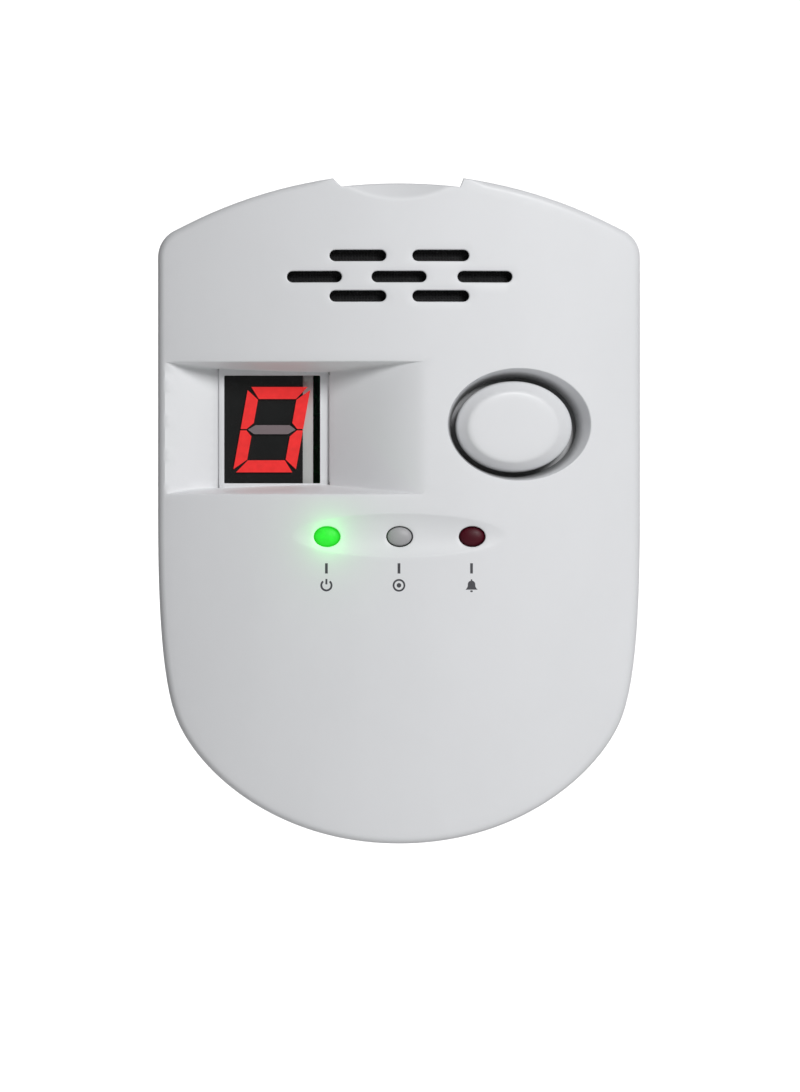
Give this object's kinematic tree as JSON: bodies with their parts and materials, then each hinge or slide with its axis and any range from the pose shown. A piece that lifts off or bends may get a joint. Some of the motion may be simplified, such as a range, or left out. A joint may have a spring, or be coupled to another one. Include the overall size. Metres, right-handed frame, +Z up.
{
  "type": "carbon monoxide detector",
  "caption": "Plug-in carbon monoxide detector: curved shield-shaped white casing with a recessed single-digit display, an oval test button, status lamps and sound slots.",
  "frame": {"origin": "middle of the plug pad's flat face, which meets the wall; half way up the casing and between the two blades", "axes": "+Z up; the front, with the display and button, faces -Y; the plug blades point along +Y into the wall; +X is to the right as seen from the front"},
  "size_m": [0.0808, 0.054, 0.1113],
  "materials": {
    "cover_white": "fine matte moulded",
    "button_white": "fine matte moulded",
    "rear_white": "matte moulded",
    "black_plastic": "moulded",
    "label": "satin film",
    "nickel_brass": "nickel plated",
    "steel": "plated",
    "board_green": "solder mask",
    "green_lamp": "diffused epoxy, lit",
    "grey_lamp": "diffused epoxy",
    "red_lamp": "tinted epoxy",
    "display_grey": "moulded",
    "display_black": "film",
    "segment_lit": "diffused epoxy, lit",
    "segment_unlit": "diffused epoxy",
    "red_wire": "insulation",
    "blue_wire": "insulation",
    "ferrite": "moulded",
    "yellow_film": "film",
    "blue_ceramic": "coated",
    "glass": "clear"
  },
  "bodies": {
    "casing": {"front_cover": "cover_white", "rear_cover": "rear_white", "blade_carrier": "black_plastic", "switch_body": "black_plastic", "grille_dust_screen": "black_plastic", "sensor_base": "black_plastic", "buzzer": "black_plastic", "controller_chip": "black_plastic", "voltage_regulator": "black_plastic", "power_led_spacer": "black_plastic", "state_led_spacer": "black_plastic", "alarm_led_spacer": "black_plastic", "rating_label": "label", "left_blade": "nickel_brass", "right_blade": "nickel_brass", "housing_screw_1": "steel", "housing_screw_2": "steel", "housing_screw_3": "steel", "housing_screw_4": "steel", "board_screw_1": "steel", "board_screw_2": "steel", "board_screw_3": "steel", "board_screw_4": "steel", "carrier_screw_1": "steel", "carrier_screw_2": "steel", "sensor_can": "steel", "sensor_gauze": "steel", "power_led_left_lead": "steel", "power_led_right_lead": "steel", "state_led_left_lead": "steel", "state_led_right_lead": "steel", "alarm_led_left_lead": "steel", "alarm_led_right_lead": "steel", "main_board": "board_green", "power_led": "green_lamp", "state_led": "grey_lamp", "alarm_led": "red_lamp", "display_module": "display_grey", "display_face": "display_black", "segment_a": "segment_lit", "segment_b": "segment_lit", "segment_c": "segment_lit", "segment_d": "segment_lit", "segment_e": "segment_lit", "segment_f": "segment_lit", "segment_g": "segment_unlit", "live_wire": "red_wire", "neutral_wire": "blue_wire", "transformer_core": "ferrite", "smoothing_capacitor": "ferrite", "output_capacitor": "ferrite", "transformer_winding": "yellow_film", "mains_film_capacitor": "yellow_film", "varistor": "blue_ceramic", "trim_potentiometer": "blue_ceramic", "fuse": "glass"},
    "button": {"test_button": "button_white"},
    "plunger": {"switch_plunger": "black_plastic"}
  },
  "joints": [
    {"name": "test_button_press", "type": "slide", "parent": "casing", "child": "button", "axis": [0, 1, 0], "range_m": [0, 0.001], "stiffness_N_per_m": 800, "springref_m": -0.0005},
    {"name": "switch_plunger_press", "type": "slide", "parent": "casing", "child": "plunger", "axis": [0, 1, 0], "range_m": [0, 0.001]}
  ],
  "couplings": [
    {"joint": "switch_plunger_press", "follows": "test_button_press", "ratio": 1}
  ]
}
